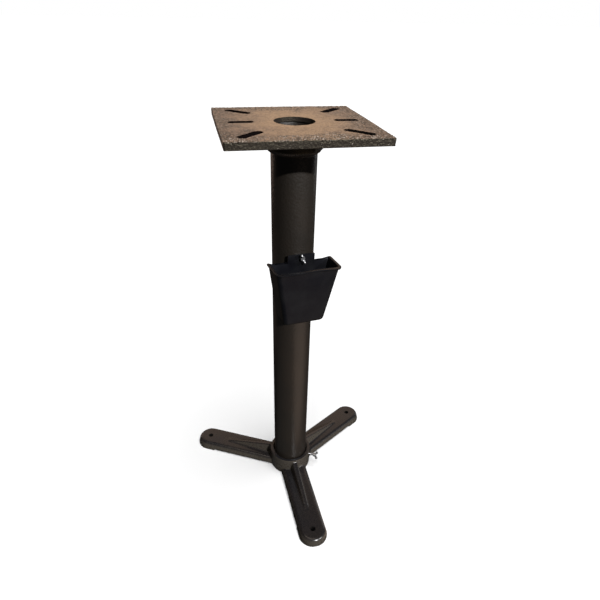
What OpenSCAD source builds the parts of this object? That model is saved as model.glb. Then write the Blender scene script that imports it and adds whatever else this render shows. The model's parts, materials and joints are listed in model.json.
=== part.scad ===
// Pedestal stand for a bench grinder: slotted top plate, tubular column,
// three-legged cast base and a water pot hung on the column.
// Origin: on the column's axis, at the floor. +Z is up and -Y is the front.

/* [Stand] */
// Height from the floor to the top of the plate
stand_h = 788; // [600:1:1000]

/* [Top plate] */
// Width of the plate, left to right
plate_w = 241; // [210:1:320]
// Depth of the plate, front to back
plate_d = 248; // [210:1:320]
// Thickness of the plate
plate_t = 12; // [8:0.5:20]
// Radius of the plate's four corners
plate_corner_r = 3; // [2:0.5:15]
// Bevel on the plate's upper and lower edges
plate_bevel = 1; // [0.5:0.1:2]
// Diameter of the hole in the middle of the plate
plate_bore_d = 65; // [50:1:69]
// Width of the six mounting slots
slot_w = 11; // [8:0.5:14]
// Length of each of the two middle slots, end to end
mid_slot_l = 35.5; // [20:0.5:44]
// From the plate's side edge to the outer end's centre of a middle slot
mid_slot_inset = 25; // [14:0.5:32]
// Length of each of the four diagonal slots, end to end
diag_slot_l = 46.5; // [24:0.5:56]
// From the plate's edges to the outer end's centre of a diagonal slot
diag_slot_inset = 29; // [14:0.5:34]
// Outer diameter of the collar cast under the plate, which holds the tube's upper end
collar_od = 94; // [92:0.5:104]
// How far the collar stands down below the plate
collar_h = 26; // [12:0.5:40]
// Thickness of plate left over the tube's upper end
tube_cover = 7; // [4:0.5:7.5]

/* [Column] */
// Outer diameter of the column tube
column_od = 76; // [70:0.5:84]
// Wall of the column tube
column_wall = 3; // [2:0.25:5]
// Leg of the weld fillet between the tube and the collar
weld_leg = 7.5; // [3:0.5:8]

/* [Base] */
// Outer diameter of the hub that holds the column
hub_od = 97; // [92:0.5:120]
// Height of the hub's rim above the floor
hub_h = 46.5; // [36:0.5:80]
// Radial gap between the tube and its socket
socket_gap = 1; // [0.5:0.1:1.5]
// Chamfer inside the mouth of the socket
socket_chamfer = 2.5; // [0.5:0.1:3.5]
// Bevel on the outside of the hub's rim
rim_bevel = 1.5; // [0.5:0.1:3]
// Room between the hub's underside and the floor
hub_lift = 0.5; // [0.5:0.5:4]
// Height above the floor of the ledge that the tube stands on
seat_h = 10; // [6:0.5:16]
// How far the ledge reaches in past the tube's bore
seat_ledge = 3; // [1:0.5:8]
// Turn of the base about the column, away from square with the plate
base_turn = 2.1; // [0:0.1:10]
// From the column's axis to the floor bolt hole of each leg
leg_reach = 216; // [150:1:300]
// Width of each leg at the floor
leg_w = 64; // [58:0.5:76]
// Width of each leg across its upper face, before the edges are rounded
leg_top_w = 55; // [48:0.5:57]
// Height of the legs' upper face above the floor
leg_h = 18.5; // [14:0.5:26]
// Rounding of the legs' upper edges
leg_round = 6; // [3:0.5:8]
// Thickness of the legs' walls and top skin
leg_skin = 7; // [5:0.5:8]
// How far each foot pad stands below the rest of the leg
pad_t = 4; // [2:0.5:6]
// Length of each foot pad inwards from its bolt hole
pad_in = 22; // [14:0.5:40]
// Diameter of the floor bolt holes
floor_hole_d = 11; // [6:0.5:14]
// From the column's axis to where each rib runs out into its leg
rib_reach = 170; // [100:1:185]
// Width of each rib at its foot, against the hub
rib_foot_w = 20; // [15:0.5:24]
// Width of each rib along its crest, against the hub
rib_crest_w = 11; // [6:0.5:14]
// Width of each rib where it runs out
rib_tip_w = 9; // [4:0.5:14]
// Drop from the hub's rim to the rib's crest at the hub
rib_drop = 5; // [2:0.5:8]

/* [Wing screws] */
// Diameter of both screws' studs
stud_d = 6; // [5:0.5:8]
// Span across the wings
wing_span = 20; // [18:0.5:30]
// Diameter of the boss between the wings
boss_d = 9; // [8:0.5:12]
// Length of the boss
boss_l = 7; // [5:0.5:10]
// Thickness of the wings
wing_t = 2.6; // [2:0.1:4]
// Radius of each wing's round tip
wing_tip_r = 3.2; // [2.5:0.1:4]
// How far the wings rise past the boss
wing_rise = 4; // [2:0.5:7]
// Running clearance round a stud in its threaded hole and in its wing
thread_gap = 0.05; // [0.02:0.01:0.1]
// Clearance where two pieces press on each other
contact_gap = 0.3; // [0.2:0.05:0.5]

/* [Clamp screw] */
// Height of the clamp screw above the floor
clamp_z = 35; // [28:0.5:38]
// Length of stud that shows between the hub and the boss
clamp_show = 12; // [6:0.5:30]
// Turn of the clamp screw's wings from upright
clamp_wing_turn = 155; // [0:1:180]

/* [Water pot] */
// Drop from the top of the plate to the pot's rim
pot_drop = 216; // [120:1:400]
// Turn of the pot about the column, to the right of square
pot_turn = 10.5; // [0:0.5:30]
// Tilt of the pot about its screw, right side low
pot_tilt = 2.5; // [0:0.5:8]
// Width of the pot's rim, over its lip
pot_rim_w = 123; // [90:1:160]
// Width of the lip at the sides
pot_side_lip = 3; // [2:0.5:8]
// Width of the lip at the front
pot_front_lip = 4.5; // [2:0.5:8]
// Thickness of the lip
pot_lip_t = 2; // [1.5:0.1:4]
// Front to back size of the pot's mouth, over its walls
pot_mouth_d = 48; // [40:0.5:80]
// Width of the pot's floor
pot_floor_w = 77; // [50:1:110]
// Front to back size of the pot's floor
pot_floor_d = 43; // [34:0.5:60]
// Height of the pot from its floor to its rim
pot_h = 108; // [70:0.5:150]
// Wall of the pot
pot_wall = 2.5; // [1.5:0.1:4]
// Radius of the lip's front corners
pot_lip_r = 2; // [1:0.5:5]
// Radius of the pot's upright corners
pot_corner_r = 5; // [4:0.5:12]
// Radius along the pot's bottom edges
pot_bottom_r = 7; // [4:0.5:14]
// Width of the tab that the pot hangs by
tab_w = 51; // [30:1:70]
// Height of the tab above the rim
tab_h = 10.5; // [9.5:0.5:24]
// Height of the screw's hole above the rim
tab_hole_h = 5; // [4.5:0.5:10]
// How far the tab and its hole stand to the right of the pot's middle
tab_x = 3; // [0:0.5:10]
// Diameter of the screw's hole in the tab
tab_hole_d = 6.8; // [6.4:0.1:9]
// Length of stud that stands inside the column
pot_stud_in = 4; // [2:0.5:8]
// Turn of the pot screw's wings from upright
pot_wing_turn = 22; // [0:1:180]

/* [Hidden] */

iron = [0.20, 0.18, 0.17];
plate_brown = [0.36, 0.31, 0.27];
weld_dark = [0.16, 0.15, 0.14];
zinc = [0.80, 0.80, 0.82];
wing_grey = [0.62, 0.62, 0.64];
pot_black = [0.10, 0.10, 0.11];

cut = 1;                    // how far a cut runs past the face that it opens
thin = 0.02;                // slice whose hull makes a tapered body
leg_count = 3;
round_steps = 6;            // facets along a rounded edge
round_fn = 96;
small_fn = 48;
hull_fn = 32;

column_r = column_od / 2;
tube_bore_r = column_r - column_wall;
plate_under = stand_h - plate_t;
collar_under = plate_under - collar_h;
tube_top = stand_h - tube_cover;

hub_r = hub_od / 2;
socket_r = column_r + socket_gap;
seat_bore_r = tube_bore_r - seat_ledge;

// The front leg points along -Y before the base is turned
leg_angles = [for (i = [0 : leg_count - 1]) 270 + base_turn + i * 360 / leg_count];
// The clamp screw stands midway between the front leg and the right one
clamp_angle = leg_angles[0] + 180 / leg_count;

rib_root_z = hub_h - rib_drop;
leg_lean = atan2((leg_w - leg_top_w) / 2, leg_h);

wing_swing_r = wing_span / 2;
wing_tip_x = wing_swing_r - wing_tip_r;
wing_tip_z = boss_l + wing_rise - wing_tip_r;
stud_r = stud_d / 2;
thread_r = stud_r + thread_gap;
stud_in_wing = boss_l - 2;  // depth of the wing's blind bore

clamp_tip_r = column_r + contact_gap;
clamp_boss_r = hub_r + clamp_show;

pot_back = column_r + contact_gap;
pot_rim_z = stand_h - pot_drop;
pot_mouth_w = pot_rim_w - 2 * pot_side_lip;
pot_screw_z = pot_rim_z + tab_hole_h;
pot_angle = pot_turn - 90;
pot_boss_r = pot_back + pot_wall + contact_gap;

// Places a child that points along +Z so that it points outwards from the column
module outwards(angle, height, from_axis) {
    rotate([0, 0, angle]) translate([from_axis, 0, height]) rotate([0, 90, 0]) children();
}

module slot(length, width, depth) {
    reach = (length - width) / 2;
    union() {
        translate([-reach, -width / 2, 0]) cube([2 * reach, width, depth]);
        for (side = [-1, 1])
            translate([side * reach, 0, 0]) cylinder(d = width, h = depth, $fn = small_fn);
    }
}

module rounded_slab(w, d, h, r) {
    translate([-w / 2 + r, -d / 2, 0]) cube([w - 2 * r, d, h]);
    translate([-w / 2, -d / 2 + r, 0]) cube([w, d - 2 * r, h]);
    for (x = [-1, 1], y = [-1, 1])
        translate([x * (w / 2 - r), y * (d / 2 - r), 0]) cylinder(r = r, h = h, $fn = small_fn);
}

// ---- top plate ----

module plate_blank() {
    w = plate_w - 2 * plate_bevel;
    d = plate_d - 2 * plate_bevel;
    translate([0, 0, plate_bevel])
        rounded_slab(plate_w, plate_d, plate_t - 2 * plate_bevel, plate_corner_r);
    rounded_slab(w, d, plate_t, plate_corner_r - plate_bevel);
}

module plate_collar() {
    collar_r = collar_od / 2;
    translate([0, 0, -collar_h])
        cylinder(r1 = collar_r - plate_bevel, r2 = collar_r, h = plate_bevel, $fn = round_fn);
    translate([0, 0, plate_bevel - collar_h])
        cylinder(r = collar_r, h = collar_h, $fn = round_fn);
}

module top_plate() {
    mid_x = plate_w / 2 - mid_slot_inset - (mid_slot_l - slot_w) / 2;
    diag_run = (diag_slot_l - slot_w) / 2 * cos(45);
    diag_x = plate_w / 2 - diag_slot_inset - diag_run;
    diag_y = plate_d / 2 - diag_slot_inset - diag_run;
    depth = plate_t + 2 * cut;
    color(plate_brown) translate([0, 0, plate_under]) difference() {
        union() {
            plate_blank();
            plate_collar();
        }
        translate([0, 0, -collar_h - cut])
            cylinder(r = column_r, h = tube_top - collar_under + cut, $fn = round_fn);
        translate([0, 0, -cut]) {
            cylinder(d = plate_bore_d, h = depth, $fn = round_fn);
            for (side = [-1, 1]) {
                translate([side * mid_x, 0, 0]) slot(mid_slot_l, slot_w, depth);
                for (end = [-1, 1])
                    translate([side * diag_x, end * diag_y, 0])
                        rotate([0, 0, side * end * 45]) slot(diag_slot_l, slot_w, depth);
            }
        }
    }
}

// ---- column ----

module column_tube() {
    color(iron) difference() {
        translate([0, 0, seat_h])
            cylinder(r = column_r, h = tube_top - seat_h, $fn = round_fn);
        translate([0, 0, seat_h - cut])
            cylinder(r = tube_bore_r, h = tube_top - seat_h + 2 * cut, $fn = round_fn);
        outwards(pot_angle, pot_screw_z, tube_bore_r - cut)
            cylinder(r = thread_r, h = column_wall + 2 * cut, $fn = small_fn);
    }
}

module weld_bead() {
    color(weld_dark) translate([0, 0, collar_under])
        rotate_extrude($fn = round_fn)
            polygon([[column_r, 0], [column_r + weld_leg, 0], [column_r, -weld_leg]]);
}

// ---- base ----

// Half of a leg's cross-section: a leaning side and a rounded upper edge
function leg_half() =
    let (round_x = leg_top_w / 2 - leg_round * tan((90 - leg_lean) / 2),
         round_z = leg_h - leg_round)
    concat(
        [[0, 0], [leg_w / 2, 0]],
        [for (i = [0 : round_steps])
            let (a = leg_lean + (90 - leg_lean) * i / round_steps)
            [round_x + leg_round * cos(a), round_z + leg_round * sin(a)]],
        [[0, leg_h]]);

module leg_body() {
    half = leg_half();
    mirrored = [for (i = [len(half) - 1 : -1 : 0]) [-half[i][0], half[i][1]]];
    rotate([90, 0, 90]) linear_extrude(height = leg_reach) polygon(concat(half, mirrored));
    translate([leg_reach, 0, 0]) rotate_extrude($fn = round_fn) polygon(half);
}

// Room under a leg, from the hub to its foot pad
module leg_undercut() {
    translate([0, -leg_w, -cut]) cube([leg_reach - pad_in, 2 * leg_w, pad_t + cut]);
}

// Hollow under a leg, between the hub and the foot pad
module leg_hollow() {
    from_r = hub_r + leg_skin / 2;
    to_r = leg_reach - pad_in - leg_skin;
    half_w = leg_top_w / 2 - leg_skin;
    translate([from_r, -half_w, pad_t - cut])
        cube([to_r - from_r, 2 * half_w, leg_h - leg_skin - pad_t + cut]);
}

module rib_slice(from_axis, crest_z, foot_w, crest_w) {
    translate([from_axis, 0, leg_h - cut]) rotate([90, 0, 90]) linear_extrude(height = thin)
        polygon([[-foot_w / 2, 0], [foot_w / 2, 0],
                 [crest_w / 2, crest_z - leg_h + cut], [-crest_w / 2, crest_z - leg_h + cut]]);
}

module rib() {
    hull() {
        rib_slice(socket_r + socket_chamfer, rib_root_z, rib_foot_w, rib_crest_w);
        rib_slice(hub_r, rib_root_z, rib_foot_w, rib_crest_w);
        rib_slice(rib_reach, leg_h, rib_tip_w, rib_tip_w - 2 * cut);
    }
}

module hub() {
    translate([0, 0, hub_lift])
        cylinder(r = hub_r, h = hub_h - rim_bevel - hub_lift, $fn = round_fn);
    translate([0, 0, hub_h - rim_bevel])
        cylinder(r1 = hub_r, r2 = hub_r - rim_bevel, h = rim_bevel, $fn = round_fn);
}

module socket() {
    translate([0, 0, seat_h]) cylinder(r = socket_r, h = hub_h, $fn = round_fn);
    translate([0, 0, hub_h - socket_chamfer])
        cylinder(r1 = socket_r, r2 = socket_r + socket_chamfer + cut,
                 h = socket_chamfer + cut, $fn = round_fn);
    cylinder(r = seat_bore_r, h = hub_h, $fn = round_fn);
}

module leg() {
    difference() {
        union() {
            leg_body();
            rib();
        }
        leg_undercut();
        leg_hollow();
        translate([leg_reach, 0, -cut])
            cylinder(d = floor_hole_d, h = leg_h + 2 * cut, $fn = small_fn);
    }
}

module tripod_base() {
    color(iron) difference() {
        union() {
            hub();
            for (angle = leg_angles) rotate([0, 0, angle]) leg();
        }
        socket();
        outwards(clamp_angle, clamp_z, socket_r - cut)
            cylinder(r = thread_r, h = hub_r - socket_r + 2 * cut, $fn = small_fn);
    }
}

// ---- wing screws ----

// The wings' flat outline, with the screw's axis along +Y
module wing_outline() {
    for (side = [-1, 1]) {
        run = wing_tip_x - stud_r;
        lean = atan2(run, wing_tip_z - boss_l / 3);
        length = norm([run, wing_tip_z - boss_l / 3]);
        translate([side * wing_tip_x, wing_tip_z]) circle(r = wing_tip_r, $fn = small_fn);
        translate([side * stud_r, boss_l / 3]) rotate(-side * lean)
            translate([-boss_l / 3, 0]) square([boss_l * 2 / 3, length]);
    }
}

module wing_head() {
    difference() {
        union() {
            cylinder(d = boss_d, h = boss_l, $fn = small_fn);
            intersection() {
                rotate([90, 0, 0]) translate([0, 0, -wing_t / 2])
                    linear_extrude(height = wing_t) wing_outline();
                cylinder(r = wing_swing_r, h = boss_l + wing_rise, $fn = small_fn);
            }
        }
        translate([0, 0, -cut]) cylinder(r = thread_r, h = stud_in_wing + cut, $fn = small_fn);
    }
}

module stud(length) {
    cylinder(r = stud_r, h = length, $fn = small_fn);
}

module clamp_stud() {
    color(zinc) outwards(clamp_angle, clamp_z, clamp_tip_r)
        stud(clamp_boss_r - clamp_tip_r + stud_in_wing - contact_gap);
}

module clamp_wing() {
    color(wing_grey) outwards(clamp_angle, clamp_z, clamp_boss_r)
        rotate([0, 0, clamp_wing_turn]) wing_head();
}

module pot_stud() {
    color(zinc) outwards(pot_angle, pot_screw_z, tube_bore_r - pot_stud_in)
        stud(pot_boss_r - tube_bore_r + pot_stud_in + stud_in_wing - contact_gap);
}

module pot_wing() {
    color(wing_grey) outwards(pot_angle, pot_screw_z, pot_boss_r)
        rotate([0, 0, pot_wing_turn]) wing_head();
}

// ---- water pot ----
// The pot is drawn with its back at y = 0 and its front towards -Y

module pot_slice(w, d, r, inset, z) {
    translate([0, -d / 2, z])
        linear_extrude(height = thin) union() {
            square([w - 2 * inset - 2 * r, d - 2 * inset], center = true);
            square([w - 2 * inset, d - 2 * inset - 2 * r], center = true);
            for (x = [-1, 1], y = [-1, 1])
                translate([x * (w / 2 - inset - r), y * (d / 2 - inset - r)])
                    circle(r = r, $fn = hull_fn);
        }
}

// A tapered body whose walls lie inset inside the pot's outside
module pot_form(inset, top_z) {
    corner = pot_corner_r - inset;
    low = pot_bottom_r - inset;
    hull() {
        pot_slice(pot_mouth_w, pot_mouth_d, corner, inset, top_z);
        for (step = [0 : round_steps]) {
            a = 90 * step / round_steps;
            shrink = low * (1 - cos(a));
            share = (pot_bottom_r - low * sin(a)) / pot_h;
            w = pot_floor_w + (pot_mouth_w - pot_floor_w) * share - 2 * shrink;
            d = pot_floor_d + (pot_mouth_d - pot_floor_d) * share - 2 * shrink;
            translate([0, -shrink, 0])
                pot_slice(w, d, corner, inset, pot_bottom_r - low * sin(a));
        }
    }
}

module pot_lip() {
    d = pot_mouth_d + pot_front_lip;
    translate([0, -d / 2, pot_h - pot_lip_t])
        rounded_slab(pot_rim_w, d, pot_lip_t, pot_lip_r);
}

module pot_tab() {
    translate([tab_x - tab_w / 2, -pot_wall, pot_h - pot_lip_t])
        cube([tab_w, pot_wall, tab_h + pot_lip_t]);
}

// Puts the pot on its screw, turned with it about the column and tilted about it
module hang_pot() {
    rotate([0, 0, pot_turn]) translate([0, -pot_back, pot_screw_z]) rotate([0, pot_tilt, 0])
        translate([-tab_x, 0, -pot_h - tab_hole_h]) children();
}

module water_pot() {
    color(pot_black) hang_pot() difference() {
        union() {
            pot_form(0, pot_h - thin);
            pot_lip();
            pot_tab();
        }
        difference() {
            pot_form(pot_wall, pot_h + cut);
            translate([-pot_rim_w, -pot_wall, 0]) cube([2 * pot_rim_w, pot_wall, 2 * pot_h]);
        }
        translate([tab_x, cut, pot_h + tab_hole_h]) rotate([90, 0, 0])
            cylinder(d = tab_hole_d, h = pot_wall + 2 * cut, $fn = small_fn);
    }
}

top_plate();
column_tube();
weld_bead();
tripod_base();
clamp_stud();
clamp_wing();
water_pot();
pot_stud();
pot_wing();
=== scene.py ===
"""Looks of a bench grinder's pedestal stand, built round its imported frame.

Every length is in metres. The row frame has its origin on the column's axis at the
floor, +Z up and -Y to the front. Each piece is modelled where it stands, keeps its
place in its mesh, and rides on one of the frame's bodies.
"""

import json
import logging
import math
from dataclasses import dataclass, field
from enum import Enum
from typing import Callable, Self, Sequence

import bmesh
import bpy
from mathutils import Matrix, Vector, noise


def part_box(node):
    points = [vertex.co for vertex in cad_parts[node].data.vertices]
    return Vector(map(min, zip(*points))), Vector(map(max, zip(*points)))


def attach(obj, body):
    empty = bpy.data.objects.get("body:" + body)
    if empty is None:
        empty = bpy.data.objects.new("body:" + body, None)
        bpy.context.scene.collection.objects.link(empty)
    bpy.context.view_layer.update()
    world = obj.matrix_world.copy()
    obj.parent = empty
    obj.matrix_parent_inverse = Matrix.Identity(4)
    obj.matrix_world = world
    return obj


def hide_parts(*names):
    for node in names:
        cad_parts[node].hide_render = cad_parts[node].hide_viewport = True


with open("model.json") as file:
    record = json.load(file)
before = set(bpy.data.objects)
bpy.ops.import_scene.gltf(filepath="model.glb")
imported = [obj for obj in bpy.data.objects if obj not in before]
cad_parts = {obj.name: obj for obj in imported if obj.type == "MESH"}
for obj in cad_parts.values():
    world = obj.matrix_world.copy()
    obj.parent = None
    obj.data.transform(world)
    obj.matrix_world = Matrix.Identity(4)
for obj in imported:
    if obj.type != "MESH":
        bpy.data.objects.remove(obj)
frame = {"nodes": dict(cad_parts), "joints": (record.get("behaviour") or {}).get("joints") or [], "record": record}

log = logging.getLogger("stand")

MM = 0.001
HOLLOW = "hollow"
TINY = 0.01 * MM
SCREW_HOLE = 3.05 * MM
UP = Vector((0.0, 0.0, 1.0))
Triple = tuple[float, float, float]
Socket = bpy.types.NodeSocket
Test = Callable[[Vector, Vector], bool]


# ---- the frame's facts


def mount_dims(name: str) -> dict:
    """Find the dims of one of the record's mounts, by its name."""
    return next(m for m in frame["record"]["mounts"] if m["name"] == name)["dims"]


def joint(name: str) -> dict:
    """Find one of the frame's joints, by its name."""
    return next(j for j in frame["joints"] if j["name"] == name)


def facing(axis: Sequence[float]) -> float:
    """Angle about +Z of a level axis, from +X, in radians."""
    return math.atan2(axis[1], axis[0])


def outward(name: str) -> Matrix:
    """Find the frame of a screw's joint.

    Args:
        name: The joint's name.

    Returns:
        The frame, at the joint's place and with +Z along its axis.
    """
    screw = joint(name)
    turn = Matrix.Rotation(facing(screw["axis"]), 4, "Z") @ Matrix.Rotation(math.pi / 2, 4, "Y")
    return Matrix.Translation(Vector(screw["pos_m"])) @ turn


# ---- the bench


def deselect() -> None:
    """Leave edit mode and select nothing."""
    if bpy.context.object is not None and bpy.context.object.mode != "OBJECT":
        bpy.ops.object.mode_set(mode="OBJECT")
    bpy.ops.object.select_all(action="DESELECT")


class Part(Enum):
    """What an edit-mode selection picks."""

    FACES = "FACE"
    EDGES = "EDGE"
    POINTS = "VERT"


class Workpiece:
    """A mesh on the bench, and the moves that shape it."""

    def __init__(self, name: str) -> None:
        """Take up the object that an operator has just added.

        Args:
            name: The piece's name.
        """
        self.obj = bpy.context.object
        self.obj.name = name
        self.obj.data.name = name
        self.settle()

    @classmethod
    def start(cls, name: str, operator: Callable, scale: Sequence[float] = (1.0, 1.0, 1.0),
              **settings: object) -> Self:
        """Start from what one of Blender's operators adds.

        Args:
            name: The piece's name.
            operator: The operator.
            scale: A stretch along each axis.
            **settings: The operator's settings.

        Returns:
            The new piece.
        """
        deselect()
        operator(**settings)
        bpy.context.object.scale = scale
        return cls(name)

    @classmethod
    def block(cls, name: str, size: Sequence[float], centre: Sequence[float]) -> Self:
        """Start from a block of a size, round a centre."""
        return cls.start(name, bpy.ops.mesh.primitive_cube_add, size, size=1.0, location=centre)

    @classmethod
    def disc(cls, name: str, radius: float, centre: Sequence[float], sides: int) -> Self:
        """Start from a flat round face with a number of sides."""
        return cls.start(name, bpy.ops.mesh.primitive_circle_add, vertices=sides, radius=radius,
                         fill_type="NGON", location=centre)

    @classmethod
    def rod(cls, name: str, radius: float, depth: float, centre: Sequence[float],
            sides: int, tip: float | None = None, open_ends: bool = False) -> Self:
        """Start from an upright rod, or a cone with its tip cut off.

        Args:
            name: The piece's name.
            radius: Radius at the foot.
            depth: Height.
            centre: The middle of the rod.
            sides: Number of sides.
            tip: Radius at the head, where it differs.
            open_ends: Leave the ends open.

        Returns:
            The new piece.
        """
        shape = {"vertices": sides, "depth": depth, "location": centre,
                 "end_fill_type": "NOTHING" if open_ends else "NGON"}
        if tip is None:
            return cls.start(name, bpy.ops.mesh.primitive_cylinder_add, radius=radius, **shape)
        return cls.start(name, bpy.ops.mesh.primitive_cone_add, radius1=radius, radius2=tip,
                         **shape)

    def hold(self) -> bpy.types.Object:
        """Make the piece the only selected and active object.

        Returns:
            Its object.
        """
        deselect()
        bpy.context.view_layer.objects.active = self.obj
        self.obj.select_set(True)
        return self.obj

    def settle(self) -> Self:
        """Put the object's place, turn and scale into its mesh.

        Returns:
            The piece.
        """
        self.hold()
        bpy.ops.object.transform_apply(location=True, rotation=True, scale=True)
        return self

    def place(self, matrix: Matrix) -> Self:
        """Move the piece as a whole.

        Args:
            matrix: Where its own frame goes.

        Returns:
            The piece.
        """
        self.hold().matrix_world = matrix
        return self.settle()

    def modify(self, kind: str, **settings: object) -> Self:
        """Add a modifier and apply it.

        Args:
            kind: The modifier's type.
            **settings: Its settings.

        Returns:
            The piece.
        """
        obj = self.hold()
        step = obj.modifiers.new(kind.title(), kind)
        for key, value in settings.items():
            setattr(step, key, value)
        bpy.ops.object.modifier_apply(modifier=step.name)
        return self

    def combine(self, other: Self, operation: str) -> Self:
        """Combine this piece with another by a boolean, and use the other up.

        Args:
            other: The other piece.
            operation: What the boolean does.

        Returns:
            The piece.
        """
        self.modify("BOOLEAN", operation=operation, solver="EXACT", object=other.obj)
        bpy.data.objects.remove(other.obj)
        return self

    def cut(self, tool: Self) -> Self:
        """Cut another piece's shape out of this one."""
        return self.combine(tool, "DIFFERENCE")

    def fuse(self, other: Self) -> Self:
        """Unite another piece with this one."""
        return self.combine(other, "UNION")

    def gather(self, others: Sequence[Self]) -> Self:
        """Join other pieces' meshes to this one, without uniting them.

        Args:
            others: The other pieces.

        Returns:
            The piece.
        """
        deselect()
        for other in others:
            other.obj.select_set(True)
        self.obj.select_set(True)
        bpy.context.view_layer.objects.active = self.obj
        bpy.ops.object.join()
        return self

    def recast(self, grain: float, rounding: int) -> Self:
        """Turn overlapping shapes into one skin with soft inner and outer corners.

        Args:
            grain: Size of the skin's faces.
            rounding: How many times the skin is relaxed.

        Returns:
            The piece.
        """
        self.modify("REMESH", mode="VOXEL", voxel_size=grain, adaptivity=0.0, use_smooth_shade=True)
        return self.modify("SMOOTH", factor=0.5, iterations=rounding)

    def ease(self, width: float, steps: int, angle: float = 35.0) -> Self:
        """Round every sharp edge.

        Args:
            width: Width of the rounding.
            steps: Faces across it.
            angle: Sharpest fold, in degrees, that is left alone.

        Returns:
            The piece.
        """
        return self.modify("BEVEL", width=width, segments=steps, limit_method="ANGLE",
                           angle_limit=math.radians(angle), harden_normals=False)

    def pick(self, part: Part, test: Test = lambda at, run: True) -> Self:
        """Enter edit mode and select what passes a test.

        Args:
            part: Faces, edges or points.
            test: Takes the middle, and the normal or the run, of each. All pass without it.

        Returns:
            The piece.
        """
        self.hold()
        bpy.ops.object.mode_set(mode="EDIT")
        bpy.ops.mesh.select_mode(type=part.value)
        bpy.ops.mesh.select_all(action="DESELECT")
        mesh = bmesh.from_edit_mesh(self.obj.data)
        if part is Part.FACES:
            for face in mesh.faces:
                face.select_set(test(face.calc_center_median(), face.normal))
        elif part is Part.EDGES:
            for edge in mesh.edges:
                a, b = (v.co for v in edge.verts)
                edge.select_set(test((a + b) / 2, b - a))
        else:
            for vert in mesh.verts:
                vert.select_set(test(vert.co, vert.normal))
        mesh.select_flush_mode()
        bmesh.update_edit_mesh(self.obj.data)
        return self

    def edit(self, operator: Callable, part: Part, test: Test = lambda at, run: True,
             **settings: object) -> Self:
        """Run one of the mesh operators on what passes a test.

        Args:
            operator: The operator.
            part: Faces, edges or points.
            test: What pick takes.
            **settings: The operator's settings.

        Returns:
            The piece.
        """
        self.pick(part, test)
        operator(**settings)
        deselect()
        return self

    def slice_rod(self, length: float, cuts: int) -> Self:
        """Cut the sides of an upright rod of some length into slices."""
        return self.edit(bpy.ops.mesh.subdivide, Part.EDGES,
                         lambda at, run: abs(run.z) > 0.9 * length, number_cuts=cuts)

    def sculpt(self, move: Callable[[Vector], Vector]) -> Self:
        """Move every point by a rule.

        Args:
            move: Gives a point's new place from its old one.

        Returns:
            The piece.
        """
        deselect()
        for vert in self.obj.data.vertices:
            vert.co = move(vert.co.copy())
        self.obj.data.update()
        return self

    def sink(self, depth: Callable[[Vector], float]) -> Self:
        """Sink every point into the surface by a rule.

        Args:
            depth: Gives how deep the point at a place sinks.

        Returns:
            The piece.
        """
        deselect()
        points = self.obj.data.vertices
        places = [vert.co - vert.normal * depth(vert.co) for vert in points]
        for vert, place in zip(points, places):
            vert.co = place
        self.obj.data.update()
        return self

    def mark(self, test: Callable[[Vector], bool]) -> Self:
        """Mark the faces that lie in a hollow, for the paint to darken them as painted shade.

        Args:
            test: Takes the middle of a face.

        Returns:
            The piece.
        """
        mesh = self.obj.data
        marks = mesh.attributes.new(HOLLOW, "FLOAT", "FACE")
        marks.data.foreach_set("value", [float(test(face.center)) for face in mesh.polygons])
        return self

    def tidy_normals(self) -> Self:
        """Merge doubled points and turn every face outwards.

        Returns:
            The piece.
        """
        self.pick(Part.POINTS)
        bpy.ops.mesh.remove_doubles(threshold=TINY)
        bpy.ops.mesh.normals_make_consistent(inside=False)
        deselect()
        return self

    def shade(self, angle: float) -> Self:
        """Shade smooth.

        Args:
            angle: Sharpest fold, in degrees, that is shaded smooth.

        Returns:
            The piece.
        """
        self.hold()
        bpy.ops.object.shade_smooth_by_angle(angle=math.radians(angle))
        return self

    def finish(self, body: str, node: str, finish: "Finish") -> bpy.types.Object:
        """Dress the piece and hang it in the frame in place of a CAD node.

        Args:
            body: The body that it rides on.
            node: The node that it stands for.
            finish: What its surface is.

        Returns:
            The finished object.
        """
        self.obj.data.materials.clear()
        self.obj.data.materials.append(finish.material())
        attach(self.obj, body)
        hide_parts(node)
        count = sum(len(p.vertices) - 2 for p in self.obj.data.polygons)
        log.info("%s rides on %s, %d triangles", self.obj.name, body, count)
        return self.obj


# ---- finishes


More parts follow.
